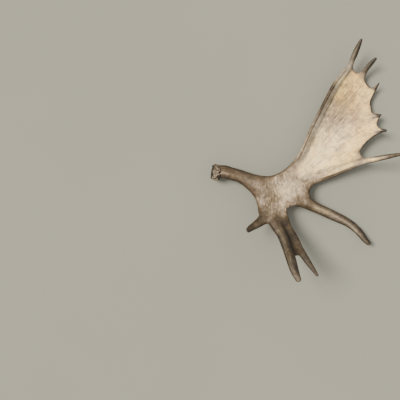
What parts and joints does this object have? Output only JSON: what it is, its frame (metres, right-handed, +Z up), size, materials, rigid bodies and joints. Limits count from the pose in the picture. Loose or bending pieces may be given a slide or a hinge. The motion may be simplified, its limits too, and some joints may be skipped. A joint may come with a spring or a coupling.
{
  "type": "moose antler",
  "caption": "Shed palmate antler lying cupped side up: burr, beam, cupped main palm with tines on its margin, a free tine and a forked brow palm.",
  "frame": {"origin": "on the floor, under the middle of the antler's box", "axes": "+Z up from the floor it lies on, +Y the antler's longest reach from the brow tines to the top tine, +X from the burr to the outer tine"},
  "size_m": [0.6402, 0.7974, 0.2272],
  "materials": {
    "beam_bone": "dry brown antler bone with a paler ridge and a whitish knobbed burr",
    "palm_bone": "bleached matte cream bone with lengthwise brown-grey veins",
    "tine_bone": "matte tan bone that darkens to worn grey-brown tips",
    "brow_bone": "dark stained brown bone with long shallow grooves"
  },
  "bodies": {
    "root": {"burr_and_beam": "beam_bone", "main_palm": "palm_bone", "top_tine": "tine_bone", "second_tine": "tine_bone", "outer_tine": "tine_bone", "long_tine": "tine_bone", "brow_palm": "brow_bone", "short_brow_tine": "brow_bone", "near_brow_tine": "brow_bone", "far_brow_tine": "brow_bone"}
  },
  "joints": []
}
